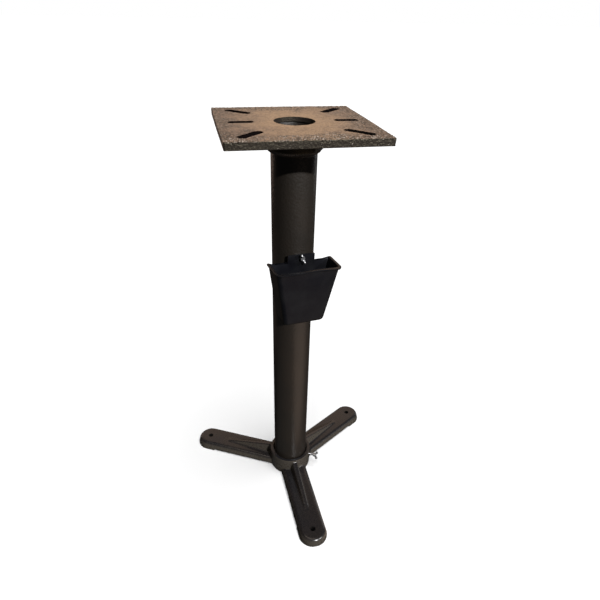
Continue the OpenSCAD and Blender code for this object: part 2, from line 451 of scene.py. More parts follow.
class Sheet:
    """The node sheet of one material."""

    def __init__(self, name: str) -> None:
        """Start a material with a Principled shader.

        Args:
            name: The material's name.
        """
        self.material = bpy.data.materials.new(name)
        self.material.use_nodes = True
        self.nodes = self.material.node_tree.nodes
        self.links = self.material.node_tree.links
        self.shader = next(n for n in self.nodes if n.type == "BSDF_PRINCIPLED")
        self.coords = self.nodes.new("ShaderNodeTexCoord").outputs["Object"]

    def set(self, socket: str, value: object) -> None:
        """Set one of the shader's own sockets."""
        self.shader.inputs[socket].default_value = value

    def feed(self, socket: str, value: Socket) -> None:
        """Link a value to one of the shader's sockets."""
        self.links.new(value, self.shader.inputs[socket])

    def add(self, kind: str, inputs: dict | None = None, **settings: object) -> bpy.types.Node:
        """Add a node.

        Args:
            kind: The node's type, without its ShaderNode prefix.
            inputs: Values or output sockets for its inputs.
            **settings: Its own settings.

        Returns:
            The node.
        """
        node = self.nodes.new("ShaderNode" + kind)
        for key, value in settings.items():
            setattr(node, key, value)
        for key, value in (inputs or {}).items():
            if isinstance(value, Socket):
                self.links.new(value, node.inputs[key])
            else:
                node.inputs[key].default_value = value
        return node

    def grain(self, scale: float, detail: float = 3.0, roughness: float = 0.5,
              stretch: float = 1.0) -> Socket:
        """Cloudy noise from 0 to 1.

        Args:
            scale: Lumps per metre.
            detail: Layers of finer noise.
            roughness: How strong the finer layers are.
            stretch: How much longer than wide the lumps are, along Y.

        Returns:
            The noise's value.
        """
        place = self.coords if stretch == 1.0 else self.scaled((1.0, 1.0 / stretch, 1.0))
        node = self.add("TexNoise", {"Vector": place, "Scale": scale, "Detail": detail,
                                     "Roughness": roughness})
        return node.outputs["Fac"]

    def cells(self, scale: float, softness: float) -> Socket:
        """Distance to the middle of the nearest cell.

        Args:
            scale: Cells per metre.
            softness: How far the cells run together.

        Returns:
            The distance.
        """
        node = self.add("TexVoronoi", {"Vector": self.coords, "Scale": scale,
                                       "Smoothness": softness}, feature="SMOOTH_F1")
        return node.outputs["Distance"]

    def remap(self, value: Socket, low: float, high: float,
              to_low: float = 0.0, to_high: float = 1.0) -> Socket:
        """Stretch a value from one range to another, and clamp it there.

        Args:
            value: The value.
            low: Where its range starts.
            high: Where its range ends.
            to_low: What the start becomes.
            to_high: What the end becomes.

        Returns:
            The stretched value.
        """
        node = self.add("MapRange", {"Value": value, "From Min": low, "From Max": high,
                                     "To Min": to_low, "To Max": to_high})
        return node.outputs["Result"]

    def math(self, operation: str, a: Socket, b: object) -> Socket:
        """Combine two values by one operation of the Math node."""
        return self.add("Math", {0: a, 1: b}, operation=operation).outputs["Value"]

    def times(self, a: Socket, b: object) -> Socket:
        """Multiply two values."""
        return self.math("MULTIPLY", a, b)

    def scaled(self, shares: Triple) -> Socket:
        """Multiply the surface's place by a share along each axis."""
        node = self.add("VectorMath", {0: self.coords, 1: shares}, operation="MULTIPLY")
        return node.outputs["Vector"]

    def radius(self, shares: Triple = (1.0, 1.0, 0.0)) -> Socket:
        """Distance from the column's axis, after a share is taken along each axis."""
        return self.add("VectorMath", {0: self.scaled(shares)}, operation="LENGTH").outputs["Value"]

    def hollow(self) -> Socket:
        """1 where the piece is marked as a hollow, and 0 elsewhere."""
        return self.add("Attribute", attribute_name=HOLLOW).outputs["Fac"]

    def facing_up(self) -> Socket:
        """How far the surface faces up, from -1 to 1."""
        normal = self.nodes.new("ShaderNodeTexCoord").outputs["Normal"]
        return self.add("SeparateXYZ", {"Vector": normal}).outputs["Z"]

    def blend(self, share: Socket, a: object, b: object) -> Socket:
        """Mix two colours.

        Args:
            share: How much of the second shows.
            a: The first colour, or a socket.
            b: The second colour, or a socket.

        Returns:
            The mixed colour.
        """
        first, second = (c if isinstance(c, Socket) else (*c, 1.0) for c in (a, b))
        return self.add("Mix", {0: share, 6: first, 7: second}, data_type="RGBA").outputs[2]

    def bump(self, *layers: tuple[Socket, float]) -> None:
        """Stack bump layers on the shader.

        Args:
            *layers: Each a height from 0 to 1 and its depth in metres.
        """
        normal = None
        for height, depth in layers:
            inputs = {"Height": height, "Strength": 1.0, "Distance": depth}
            if normal is not None:
                inputs["Normal"] = normal
            normal = self.add("Bump", inputs).outputs["Normal"]
        self.links.new(normal, self.shader.inputs["Normal"])


@dataclass(frozen=True)
class Finish:
    """One surface finish, for one of the record's material slots."""

    slot: str

    @property
    def name(self) -> str:
        """The material's name, which differs from the plain CAD one."""
        return f"{self.slot}_look"

    def material(self) -> bpy.types.Material:
        """Make the material, or find it if it is made.

        Returns:
            The material.
        """
        known = bpy.data.materials.get(self.name)
        if known is None:
            sheet = Sheet(self.name)
            self.mix(sheet)
            known = sheet.material
        return known

    def mix(self, sheet: Sheet) -> None:
        """Fill the material's node sheet."""
        raise NotImplementedError


@dataclass(frozen=True)
class HammeredPaint(Finish):
    """Dark semi-gloss paint that dried in small soft dimples."""

    tone: Triple = (0.0112, 0.0088, 0.0066)
    warm: Triple = (0.0142, 0.0102, 0.0072)
    dimple: float = 3.8 * MM
    dimple_depth: float = 0.26 * MM
    gloss: float = 0.38

    def mix(self, sheet: Sheet) -> None:
        """Build the paint.

        Args:
            sheet: The material's sheet.
        """
        blotch = sheet.remap(sheet.grain(16.0, 3.0), 0.35, 0.65)
        sheet.feed("Base Color", sheet.blend(blotch, self.tone, self.warm))
        fine = sheet.grain(700.0, 3.0)
        sheet.feed("Roughness", sheet.remap(fine, 0.3, 0.7, self.gloss - 0.05, self.gloss + 0.08))
        dimples = sheet.cells(1.0 / self.dimple, 0.6)
        sheet.bump((dimples, self.dimple_depth), (fine, 0.01 * MM))
        sheet.set("Specular IOR Level", 0.75)


@dataclass(frozen=True)
class RoughCast(Finish):
    """Pebbly dark paint, brown across the middle of the plate's top: partly the paint's own brown, partly a
    painted sheen.
    """

    # brown fading to grey towards the border is partly the paint's own colour and partly painted sheen, the
    # reflection of the warm light behind the stand
    brown: Triple = (0.322, 0.210, 0.128)
    grey: Triple = (0.185, 0.124, 0.094)
    # side: the darker colour of faces that don't face up, painted shade against the lit top; also the dark of the
    # mottle and of the painted pebble shadow
    side: Triple = (0.0150, 0.0122, 0.0112)
    # hollow: near black inside and round the slots, painted shade
    hollow: Triple = (0.004, 0.003, 0.003)
    # pale: painted glints on the top near the border, and the pale flecks on the sides
    pale: Triple = (0.46, 0.41, 0.37)
    pebble: float = 1.9 * MM
    pebble_depth: float = 0.35 * MM
    mottle: float = 4.2 * MM
    speck: float = 2.3 * MM
    rim_from: float = 0.62
    front_from: float = 84 * MM
    spread: Triple = (1.5, 0.9, 0.0)
    sheen_fade_from: float = 50 * MM
    border: float = 160 * MM
    bore_zone: float = 50 * MM
    wander: float = 30 * MM
    grit_depth: float = 0.30 * MM
    tint: tuple[float, float, float, float] = (1.0, 0.90, 0.64, 1.0)

    def mix(self, sheet: Sheet) -> None:
        """Build the rough face: brown with a painted sheen across the middle, mottled, with painted shade in the
        pebbles' hollows, on the sides and in the slots, and with pale flecks as painted glints.

        Args:
            sheet: The material's sheet.
        """
        grit = sheet.grain(620.0, 4.0, 0.65)
        pebbles = sheet.cells(1.0 / self.pebble, 0.35)
        wander = sheet.remap(sheet.grain(28.0, 4.0), 0.3, 0.7, -self.wander, self.wander)
        reach = sheet.math("ADD", sheet.radius(self.spread), wander)
        # Brown in the middle fading to grey at the border: partly the paint's own colour, partly painted sheen.
        top = sheet.blend(sheet.remap(reach, self.sheen_fade_from, self.border), self.brown, self.grey)
        mottle = sheet.remap(sheet.grain(1.0 / self.mottle, 3.0, 0.7), 0.42, 0.66)
        depth = sheet.remap(reach, self.sheen_fade_from, self.border, 0.45, 0.90)
        top = sheet.blend(sheet.times(mottle, depth), top, self.side)
        zone = self.near_border(sheet, wander)
        # Dark flecks near the border are painted shadow in the hollows between the pebbles.
        pit_shade = sheet.remap(sheet.grain(1.0 / self.speck, 2.0, 0.6, 2.6), 0.45, 0.51)
        top = sheet.blend(sheet.times(pit_shade, sheet.remap(zone, 0.0, 0.8, 0.12, 1.0)), top, self.side)
        glint_specks = sheet.remap(sheet.grain(1.1 / self.speck, 2.0, 0.6, 2.2), 0.57, 0.62)
        # Pale flecks, painted glints, gather on faces that face up along the front edge and over the border.
        front = sheet.add("SeparateXYZ", {"Vector": sheet.coords}).outputs["Y"]
        front = sheet.remap(sheet.math("SUBTRACT", wander, front),
                            self.front_from, -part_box("top_plate")[0].y)
        share = sheet.math("MAXIMUM", sheet.remap(zone, 0.0, 1.0, 0.04, 0.35), front)
        share = sheet.times(glint_specks, share)
        # Pale flecks on the side faces, away from the bore.
        side_specks = sheet.remap(sheet.grain(260.0, 3.0, 0.6), 0.68, 0.72)
        side_specks = sheet.times(side_specks, sheet.math("GREATER_THAN", sheet.radius(), self.bore_zone))
        side = sheet.blend(side_specks, self.side, self.pale)
        rim = sheet.math("GREATER_THAN", sheet.facing_up(), 0.5)
        # Faces that face up take the lit top colour, the others the darker side colour: painted light and shade.
        paint = sheet.blend(sheet.remap(sheet.facing_up(), 0.84, 0.97), side, top)
        paint = sheet.blend(sheet.times(share, rim), paint, self.pale)
        # Faces marked as hollow, in and round the slots, are painted near black: painted shade.
        sheet.feed("Base Color", sheet.blend(sheet.hollow(), paint, self.hollow))
        sheet.feed("Specular IOR Level", sheet.remap(sheet.hollow(), 0.0, 1.0, 0.5, 0.0))
        sheet.feed("Roughness", sheet.remap(grit, 0.3, 0.7, 0.36, 0.56))
        sheet.bump((pebbles, -self.pebble_depth), (grit, self.grit_depth))
        sheet.set("Specular Tint", self.tint)

    def near_border(self, sheet: Sheet, wander: Socket) -> Socket:
        """Find the border of the plate's face, where the painted glints and the painted shadow of the pebbles
        gather.

        Args:
            sheet: The material's sheet.
            wander: How far the border wanders, in metres.

        Returns:
            0 over the middle, rising to 1 at the outline.
        """
        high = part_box("top_plate")[1]
        shares = {0: sheet.scaled((1 / high.x, 1 / high.y, 0.0))}
        shares = sheet.add("VectorMath", shares, operation="ABSOLUTE").outputs["Vector"]
        axes = sheet.add("SeparateXYZ", {"Vector": shares}).outputs
        reach = sheet.math("MAXIMUM", axes["X"], axes["Y"])
        wander = sheet.times(wander, 1.0 / high.x)
        return sheet.remap(sheet.math("ADD", reach, wander), self.rim_from, 1.0)


@dataclass(frozen=True)
class CastPaint(Finish):
    """Semi-gloss dark paint over a cast surface, its sides painted lighter as a painted reflection of the floor,
    its holes painted dark as painted shade.
    """

    tone: Triple = (0.0095, 0.0092, 0.0112)
    warm: Triple = (0.0135, 0.0118, 0.0118)
    # sides: lighter colour of faces that don't face up, a painted reflection of the pale floor
    sides: Triple = (0.050, 0.043, 0.035)
    # near black colour for the socket and floor holes: painted shade
    hole_shade: Triple = (0.006, 0.0055, 0.005)

    def mix(self, sheet: Sheet) -> None:
        """Build the painted casting.

        Args:
            sheet: The material's sheet.
        """
        blotch = sheet.remap(sheet.grain(14.0, 3.0), 0.35, 0.65)
        tops = sheet.blend(blotch, self.tone, self.warm)
        # Faces that don't face up are painted lighter than the tops: painted reflection of the floor.
        up = sheet.remap(sheet.facing_up(), 0.35, 0.85)
        paint = sheet.blend(up, self.sides, tops)
        # Faces marked as hollow, in the socket and floor holes, are painted near black: painted shade.
        sheet.feed("Base Color", sheet.blend(sheet.hollow(), paint, self.hole_shade))
        skin = sheet.grain(200.0, 1.5, 0.4)
        sheet.feed("Roughness", sheet.remap(skin, 0.3, 0.7, 0.24, 0.32))
        sheet.bump((skin, 0.03 * MM))


@dataclass(frozen=True)
class Moulding(Finish):
    """Matt black plastic with a fine moulded grain."""

    tone: Triple = (0.0032, 0.0032, 0.0045)
    scuffed: Triple = (0.006, 0.006, 0.0068)

    def mix(self, sheet: Sheet) -> None:
        """Build the plastic.

        Args:
            sheet: The material's sheet.
        """
        wear = sheet.remap(sheet.grain(30.0, 4.0, 0.6), 0.4, 0.7)
        sheet.feed("Base Color", sheet.blend(wear, self.tone, self.scuffed))
        fine = sheet.grain(1500.0, 2.0)
        wave = sheet.grain(45.0, 2.0)
        sheet.feed("Roughness", sheet.remap(wear, 0.0, 1.0, 0.42, 0.52))
        sheet.bump((wave, 0.25 * MM), (fine, 0.03 * MM))
        sheet.set("Specular IOR Level", 0.22)
        sheet.set("Specular Tint", (0.82, 0.86, 0.98, 1.0))


@dataclass(frozen=True)
class PlatedSteel(Finish):
    """Bright zinc plating."""

    tone: Triple = (0.70, 0.70, 0.72)
    roughness: float = 0.22

    def mix(self, sheet: Sheet) -> None:
        """Build the plating.

        Args:
            sheet: The material's sheet.
        """
        haze = sheet.grain(600.0, 3.0)
        sheet.feed("Base Color", sheet.blend(haze, self.tone, tuple(0.8 * c for c in self.tone)))
        sheet.feed("Roughness", sheet.remap(haze, 0.3, 0.7, self.roughness, self.roughness + 0.12))
        sheet.bump((haze, 0.02 * MM))
        sheet.set("Metallic", 1.0)


PLATE_FINISH = RoughCast("plate_finish")
COLUMN_PAINT = HammeredPaint("column_paint")
WELD_PAINT = HammeredPaint("weld_paint", dimple_depth=0.02 * MM)
BASE_PAINT = CastPaint("base_iron")
STUD_ZINC = PlatedSteel("stud_zinc")
# The wing heads are a rougher copy of the plating, painted darker as painted shade.
WING_SHADED_PLATING = PlatedSteel("wing_metal", tone=(0.40, 0.40, 0.41), roughness=0.42)
POT_PLASTIC = Moulding("pot_plastic")


# ---- the plate and column


@dataclass(frozen=True)
class Slot:
    """One mounting slot through the plate."""

    length: float
    width: float
    middle: Vector
    turn: float

    @property
    def run(self) -> float:
        """From the slot's middle to the centre of either end."""
        return (self.length - self.width) / 2

    def away(self, at: Vector) -> float:
        """Level distance from the slot's middle line to a place.

        Args:
            at: The place.

        Returns:
            The distance.
        """
        off = Matrix.Rotation(-self.turn, 2) @ (at - self.middle).xy
        return math.hypot(max(0.0, abs(off.x) - self.run), off.y)


@dataclass
class TopPlate:
    """The slotted plate that a machine is bolted to, and the collar cast under it."""

    thickness: float = 12 * MM
    cell: float = 1.05 * MM
    corner_radius: float = 3 * MM
    edge_drop: float = 0.35 * MM
    lower_edge: float = 1.2 * MM
    under_rise: float = 0.7 * MM
    slot_edge: float = 1.8 * MM
    slot_over: float = 1 * MM
    slot_rim: float = 0.4 * MM
    collar_radius: float = 47 * MM
    collar_edge: float = 1.5 * MM
    collar_overlap: float = 2 * MM
    grit: float = 1.6 * MM
    pebble: float = 3.4 * MM
    grain: float = 2.2 * MM
    rough_from: float = 150 * MM
    low: Vector = field(default_factory=lambda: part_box("top_plate")[0])
    high: Vector = field(default_factory=lambda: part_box("top_plate")[1])

    @property
    def under(self) -> float:
        """Height of the plate's underside."""
        return self.high.z - self.thickness

    def slab(self) -> Workpiece:
        """Make the plate as a net of small cells, closed at the sides and below.

        Returns:
            The blank plate.
        """
        size = self.high - self.low
        half = size / 2
        middle = (self.high + self.low) / 2
        plate = Workpiece.start("top_plate_cast", bpy.ops.mesh.primitive_grid_add,
                                (size.x, size.y, 1.0), size=1.0,
                                x_subdivisions=round(size.x / self.cell),
                                y_subdivisions=round(size.y / self.cell),
                                location=(middle.x, middle.y, self.high.z))

        plate.pick(Part.EDGES, lambda at, run: (abs(at.x - middle.x) > half.x - 1e-6
                                                or abs(at.y - middle.y) > half.y - 1e-6))
        rows = round(self.thickness / self.cell)
        for _ in range(rows):
            bpy.ops.mesh.extrude_region_move(
                TRANSFORM_OT_translate={"value": (0, 0, -self.thickness / rows)})
        bpy.ops.mesh.edge_face_add()
        deselect()
        inner = Vector((half.x - self.corner_radius, half.y - self.corner_radius))

        def corner(p: Vector) -> Vector:
            """Turn each square corner into a round one.

            Args:
                p: A point of the net.

            Returns:
                Its new place.
            """
            u = max(0.0, abs(p.x - middle.x) - inner.x)
            v = max(0.0, abs(p.y - middle.y) - inner.y)
            if u > 0 and v > 0:
                share = max(u, v) / math.hypot(u, v)
                p.x = middle.x + math.copysign(inner.x + u * share, p.x - middle.x)
                p.y = middle.y + math.copysign(inner.y + v * share, p.y - middle.y)
            return p
        plate.sculpt(corner)
        return plate.tidy_normals()

    def grain_depth(self, at: Vector) -> float:
        """Find how deep the grain is: pebbly on the face and sides, none underneath.

        Args:
            at: The place.

        Returns:
            The depth.
        """
        if at.z < self.under + TINY:
            return self.lower_edge
        cell = noise.voronoi(at / self.pebble)[0][0]
        reach = min(1.0, math.hypot(at.x, at.y) / self.rough_from)
        fine = 0.5 + 0.5 * noise.noise(at / self.grain)
        side = max(abs(at.x) - self.high.x, abs(at.y) - self.high.y) > -1e-4
        edge = self.edge_drop if side and at.z > self.high.z - TINY else 0.0
        return self.grit * (0.22 + 0.78 * reach ** 3) * (0.6 * min(1.0, cell) + 0.4 * fine) + edge

    def flatten_under(self, p: Vector) -> Vector:
        """Bring the plate's lowest ring back to one height, so that its underside is flat."""
        if p.z < self.under + self.cell:
            p.z = self.under + self.under_rise
        return p

    def collar(self) -> Workpiece:
        """Make the collar, from its lower end to just inside the plate.

        Returns:
            The collar.
        """
        height = self.under + self.collar_overlap - self.low.z
        collar = Workpiece.rod("collar", self.collar_radius, height,
                               (0, 0, self.low.z + height / 2), sides=128)
        return collar.ease(self.collar_edge, 3)

    def slots(self) -> list[Slot]:
        """List the six slots, where the record's mounts put them.

        Returns:
            For each side, a slot along X and then two diagonal ones.
        """
        middle, corner = mount_dims("middle_slots"), mount_dims("diagonal_slots")
        level = self.high.z - self.thickness / 2
        width = 2 * middle["hole_r_mm"] * MM
        found = []
        for side in (-1, 1):
            at = Vector((side * middle["spacing_x_mm"] / 2 * MM, 0, level))
            found.append(Slot(middle["slot_length_mm"] * MM, width, at, 0.0))
            x = side * corner["spacing_x_mm"] / 2 * MM
            for end in (-1, 1):
                at = Vector((x, end * corner["spacing_y_mm"] / 2 * MM, level))
                turn = side * end * math.pi / 4
                found.append(Slot(corner["slot_length_mm"] * MM, width, at, turn))
        return found

    def slot_tool(self, slot: Slot) -> Workpiece:
        """Make a cutter with the shape of one slot, flared where it meets the face.

        Args:
            slot: The slot.

        Returns:
            The cutter.
        """
        radius = slot.width / 2
        depth = 2 * self.thickness
        flare = self.slot_edge + self.slot_over
        straight = self.thickness / 2 - self.slot_edge
        tool = Workpiece.rod("slot_tool", radius, depth, (0, 0, straight - depth / 2), sides=48)
        tool.edit(bpy.ops.mesh.extrude_region_move, Part.FACES, lambda at, normal: normal.z > 0.9,
                  TRANSFORM_OT_translate={"value": (0, 0, flare)})

        def shape(p: Vector) -> Vector:
            """Flare the cutter's upper end and stretch it to the slot's length.

            Args:
                p: A point of the cutter.

            Returns:
                Its new place.
            """
            share = 1 + flare / radius if p.z > straight + TINY else 1.0
            return Vector((p.x * share + math.copysign(slot.run, p.x + 1e-9), p.y * share, p.z))
        tool.sculpt(shape)
        return tool.place(Matrix.Translation(slot.middle) @ Matrix.Rotation(slot.turn, 4, "Z"))

    def bore_tool(self) -> Workpiece:
        """Make the cutter of the bore, wide below for the tube and narrow above it.

        Returns:
            The cutter.
        """
        low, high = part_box("column_tube")
        tube = (high.x - low.x) / 2
        bore = mount_dims("plate_bore")["r_mm"] * MM
        height = high.z - self.low.z + 5 * MM
        tool = Workpiece.rod("bore_tool", tube, height, (0, 0, high.z - height / 2), sides=128)
        tool.pick(Part.FACES, lambda at, normal: normal.z > 0.9)
        bpy.ops.mesh.inset(thickness=tube - bore)
        bpy.ops.mesh.extrude_region_move(
            TRANSFORM_OT_translate={"value": (0, 0, 2 * self.thickness)})
        deselect()
        return tool

    def build(self) -> bpy.types.Object:
        """Build the plate, with its grain and its cuts, and hang it in the frame.

        Returns:
            The finished plate.
        """
        plate = self.slab()
        plate.sink(self.grain_depth)
        plate.sculpt(self.flatten_under)
        plate.fuse(self.collar())
        slots = self.slots()
        tools = [self.slot_tool(slot) for slot in slots]
        plate.cut(self.bore_tool().gather(tools))
        # The slots' walls and chamfers are marked, for the paint to darken them as painted shade.
        rim = self.slot_edge + self.slot_rim
        plate.mark(lambda at: any(slot.away(at) < slot.width / 2 + rim for slot in slots))
        plate.shade(50)
        return plate.finish("column", "top_plate", PLATE_FINISH)


@dataclass
class Column:
    """The tube, and the weld that holds the plate on it."""

    wall: float = 3 * MM
    sides: int = 192
    rings: int = 64
    edge: float = 0.4 * MM
    ripple: float = 2.4 * MM
    ripple_height: float = 0.35 * MM
    swell: float = 0.5 * MM
    weld_sink: float = 0.2 * MM
    low: Vector = field(default_factory=lambda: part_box("column_tube")[0])
    high: Vector = field(default_factory=lambda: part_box("column_tube")[1])

    @property
    def radius(self) -> float:
        """Outer radius of the tube."""
        return (self.high.x - self.low.x) / 2

    def build_tube(self) -> bpy.types.Object:
        """Build the tube, with the hole for the pot's screw.

        Returns:
            The finished tube.
        """
        height = self.high.z - self.low.z
        tube = Workpiece.rod("column_pipe", self.radius, height,
                             (0, 0, (self.high.z + self.low.z) / 2), self.sides, open_ends=True)
        tube.slice_rod(height, self.rings)
        tube.modify("SOLIDIFY", thickness=self.wall, offset=-1.0, use_even_offset=True)
        hole = Workpiece.rod("hole_tool", SCREW_HOLE, 4 * self.wall, (0, 0, 0), 32)
        tube.cut(hole.place(outward("pot_swing")))
        tube.ease(self.edge, 2)
        tube.shade(50)
        return tube.finish("column", "column_tube", COLUMN_PAINT)

    def build_weld(self) -> bpy.types.Object:
        """Build the weld: a bead that swells and ripples as it goes round.

        Returns:
            The finished weld.
        """
        low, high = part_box("weld_bead")
        leg = high.z - low.z
        bead = Workpiece.disc("weld_bead_laid", leg / 2,
                              (self.radius + leg / 3, 0, high.z - leg / 3), sides=20)
        points = bead.obj.data.vertices
        last = len(points) - 1
        toe = Vector((self.radius + 0.94 * leg, 0, high.z))
        root = Vector((self.radius, 0, high.z - 0.94 * leg))
        belly = Vector((0.13 * leg, 0, -0.13 * leg))
        for i, vert in enumerate(points):
            t = i / (last - 1)
            vert.co = toe.lerp(root, t) + belly * math.sin(math.pi * t)
        points[last].co = Vector((self.radius - self.weld_sink, 0, high.z))
        around = 2 * math.pi * self.radius / self.ripple
        bead.edit(bpy.ops.mesh.spin, Part.FACES, steps=int(around * 8), angle=2 * math.pi,
                  center=(0, 0, 0), axis=(0, 0, 1))
        bead.tidy_normals()

        def ripple(p: Vector) -> Vector:
            """Push a point of the bead out or in.

            Args:
                p: The point.

            Returns:
                Its new place.
            """
            out = Vector((p.x, p.y, 0)).normalized()
            reach = Vector((p.x, p.y, 0)).length - self.radius
            drop = high.z - p.z
            share = max(0.0, min(1.0, reach * drop / (0.14 * leg * leg)))
            across = (reach - drop) / leg
            wave = math.sin(round(around) * math.atan2(p.y, p.x) + 2.2 * across * across)
            swell = noise.noise(Vector((out.x, out.y, 0)) * 2.3)
            size = self.ripple_height * wave + self.swell * swell - self.swell
            return p + (out - UP) * size * share * 0.7
        bead.sculpt(ripple)
        bead.shade(60)
        return bead.finish("column", "weld_bead", WELD_PAINT)


# ---- the base


@dataclass
class TripodBase:
    """The three-legged casting that the column stands in."""

    turn: float = math.radians(2.1)
    grain: float = 1.45 * MM
    rounding: int = 5
    hub_radius: float = 48.5 * MM
    socket_radius: float = 39 * MM
    seat: float = 10 * MM
    seat_bore: float = 32 * MM
    leg_width: float = 64 * MM
    leg_top_width: float = 55 * MM
    leg_height: float = 18.5 * MM
    leg_rounding: float = 6.4 * MM
    skin: float = 7 * MM
    pad: float = 4 * MM
    pad_length: float = 22 * MM
    rib_reach: float = 170 * MM
    rib_foot: float = 20 * MM
    rib_crest: float = 11 * MM
    rib_tip: float = 8 * MM
    rib_drop: float = 5 * MM
    rib_inside: float = 3 * MM
    overlap: float = 2 * MM
    lift: float = 0.5 * MM
    hole_rim: float = 0.3 * MM
    floor_gap: float = 0.05 * MM
    high: Vector = field(default_factory=lambda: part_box("tripod_base")[1])

    @property
    def reach(self) -> float:
        """From the column's axis to each floor hole."""
        return mount_dims("floor_bolts")["pcd_mm"] / 2 * MM

    @property
    def floor_hole(self) -> float:
        """Radius of each floor hole."""
        return mount_dims("floor_bolts")["hole_r_mm"] * MM

    def leg_angle(self, index: int) -> float:
        """Angle of a leg from +X, counted from the front leg round to the right."""
        return -math.pi / 2 + self.turn + index * 2 * math.pi / 3

    def leg_blank(self) -> Workpiece:
        """Make one leg along +X: a drafted bar with a round end and eased upper edges.

        Returns:
            The blank leg.
        """
        leg = Workpiece.disc("leg", self.leg_width / 2, (0, 0, 0), sides=96)
        leg.sculpt(lambda p: p + Vector((self.reach if p.x > 1e-6 else 0.0, 0, 0)))
        leg.edit(bpy.ops.mesh.inset, Part.FACES, depth=self.leg_height, use_boundary=True,
                 thickness=(self.leg_width - self.leg_top_width) / 2)
        leg.edit(bpy.ops.mesh.edge_face_add, Part.EDGES, lambda at, run: at.z < TINY)
        leg.edit(bpy.ops.mesh.bevel, Part.EDGES, lambda at, run: at.z > self.leg_height - TINY,
                 offset=self.leg_rounding, segments=5, affect="EDGES")
        return leg.tidy_normals()

    def rib(self) -> Workpiece:
        """Make one rib along +X, from inside the hub down to the leg.

        Returns:
            The rib.
        """
        root = self.high.z - self.rib_drop
        start = self.hub_radius - self.rib_inside
        low = self.leg_height - self.overlap
        rib = Workpiece.block("rib", (1, 1, 1), (0.5, 0, 0.5))

        def shape(p: Vector) -> Vector:
            """Put a corner of the block at its place on the rib.

            Args:
                p: The corner.

            Returns:
                Its new place.
            """
            if p.x > 0.5:
                top = self.leg_height - self.lift if p.z > 0.5 else low
                return Vector((self.rib_reach, math.copysign(self.rib_tip / 2, p.y), top))
            width, top = (self.rib_crest, root) if p.z > 0.5 else (self.rib_foot, low)
            return Vector((start, math.copysign(width / 2, p.y), top))
        rib.sculpt(shape)
        return rib.tidy_normals()

    def leg(self, index: int) -> list[Workpiece]:
        """Make one leg and its rib, turned to their place.

        Args:
            index: 0 for the front leg, then round to the right.

        Returns:
            The leg and the rib.
        """
        bar = self.leg_blank()
        depth = 2 * self.leg_height
        pad = self.reach - self.pad_length
        inner = self.hub_radius + self.skin / 2
        outer = pad - self.skin
        width = self.leg_top_width - 2 * self.skin
        under = (pad, 2 * self.leg_width, 2 * self.pad)
        bar.cut(Workpiece.block("undercut", under, (pad / 2, 0, 0)))
        bar.cut(Workpiece.block("hollow", (outer - inner, width, depth),
                                ((outer + inner) / 2, 0, self.leg_height - self.skin - depth / 2)))
        turn = Matrix.Rotation(self.leg_angle(index), 4, "Z")
        return [piece.place(turn) for piece in (bar, self.rib())]

    def build(self) -> bpy.types.Object:
        """Build the casting: rough shapes recast as one skin, then its machined faces.

        Returns:
            The finished base.
        """
        height = self.high.z - self.lift
        hub = Workpiece.rod("tripod_casting", self.hub_radius, height,
                            (0, 0, self.lift + height / 2), sides=160)
        hub.gather([piece for index in range(3) for piece in self.leg(index)])
        hub.recast(self.grain, self.rounding)
        hub.sculpt(lambda p: Vector((p.x, p.y, max(p.z, self.floor_gap))))
        self.machine(hub)
        # The socket's and floor holes' faces are marked, for the paint to darken them as painted shade.
        hub.mark(self.in_hole)
        hub.shade(38)
        return hub.finish("base", "tripod_base", BASE_PAINT)

    def in_hole(self, at: Vector) -> bool:
        """Tell whether a face belongs to the socket or to a floor hole.

        Args:
            at: The face's middle.

        Returns:
            Whether it does.
        """
        turn = math.atan2(at.y, at.x) - self.leg_angle(0)
        turn -= round(turn / (2 * math.pi / 3)) * 2 * math.pi / 3
        radius = math.hypot(at.x, at.y)
        off = math.hypot(radius * math.cos(turn) - self.reach, radius * math.sin(turn))
        return off < self.floor_hole + self.hole_rim or radius < self.socket_radius + self.hole_rim

    def machine(self, hub: Workpiece) -> None:
        """Cut the socket, the seat, the floor holes and the clamp screw's hole.

        Args:
            hub: The cast blank.
        """
        top = self.high.z
        tools = [
            Workpiece.rod("socket_tool", self.socket_radius, top, (0, 0, self.seat + top / 2), 160),
            Workpiece.rod("seat_tool", self.seat_bore, 2 * top, (0, 0, 0), 160),
            Workpiece.rod("mouth_tool", self.socket_radius - 1 * MM, 6 * MM,
                          (0, 0, top - 1 * MM), 160, tip=self.socket_radius + 5 * MM)]
        for index in range(3):
            angle = self.leg_angle(index)
            at = (self.reach * math.cos(angle), self.reach * math.sin(angle), self.leg_height / 2)
            tools.append(Workpiece.rod("floor_hole_tool", self.floor_hole,
                                       3 * self.leg_height, at, 40))
        tap = Workpiece.rod("tap_tool", SCREW_HOLE, 40 * MM, (0, 0, -20 * MM), 32)
        tools.append(tap.place(outward("clamp_screw_turn")))
        for tool in tools:
            hub.cut(tool)


# ---- the wing screws


